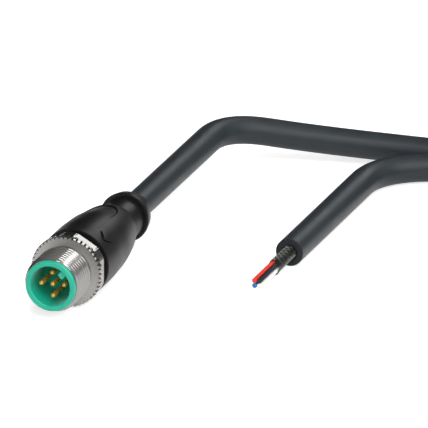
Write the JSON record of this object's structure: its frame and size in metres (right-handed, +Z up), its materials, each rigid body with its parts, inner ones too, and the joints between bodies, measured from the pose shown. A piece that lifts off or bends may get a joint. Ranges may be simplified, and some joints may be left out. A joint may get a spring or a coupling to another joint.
{
  "type": "connector cable",
  "caption": "Shielded sensor cable with a round moulded plug and screw-on coupling nut, its spare length coiled, the far end stripped to braid and cores.",
  "frame": {"origin": "on the surface that the cable lies on, straight below the middle of the plug", "axes": "+X along the plug from its contacts to its cable, +Z up"},
  "size_m": [0.1185, 0.1548, 0.0152],
  "materials": {
    "carrier": "moulded glass-filled nylon, satin",
    "gold_contact": "turned brass with thin gold plating, smooth",
    "nickel": "die cast and turned, nickel plated, satin",
    "mould": "moulded polypropylene",
    "grip": "moulded thermoplastic polyurethane, fine matt texture",
    "jacket": "extruded polyurethane, matt",
    "tie": "woven hook and loop strap",
    "braid": "braided tinned copper wire",
    "core_red": "extruded polypropylene, satin",
    "core_black": "extruded polypropylene, satin",
    "core_white": "extruded polypropylene, satin",
    "core_blue": "extruded polypropylene, satin"
  },
  "bodies": {
    "plug_and_cable": {"contact_carrier": "carrier", "contact_1": "gold_contact", "contact_2": "gold_contact", "contact_3": "gold_contact", "contact_4": "gold_contact", "contact_5": "gold_contact", "shield_sleeve": "nickel", "crimp_ferrule": "nickel", "inner_mould": "mould", "plug_core_red": "core_red", "plug_core_black": "core_black", "plug_core_white": "core_white", "plug_core_blue": "core_blue", "grip": "grip", "cable_plug_end": "jacket", "cable_coil": "jacket", "cable_open_end": "jacket", "coil_tie_1": "tie", "coil_tie_2": "tie", "braid_open_end": "braid", "core_black": "core_black", "core_white": "core_white", "core_blue": "core_blue", "core_red": "core_red"},
    "coupling_nut": {"coupling_nut": "nickel"}
  },
  "joints": [
    {"name": "coupling_nut_turn", "type": "hinge", "parent": "plug_and_cable", "child": "coupling_nut", "pos_m": [-0.0183, 0, 0.0076], "axis": [-1, 0, 0], "continuous": true}
  ]
}
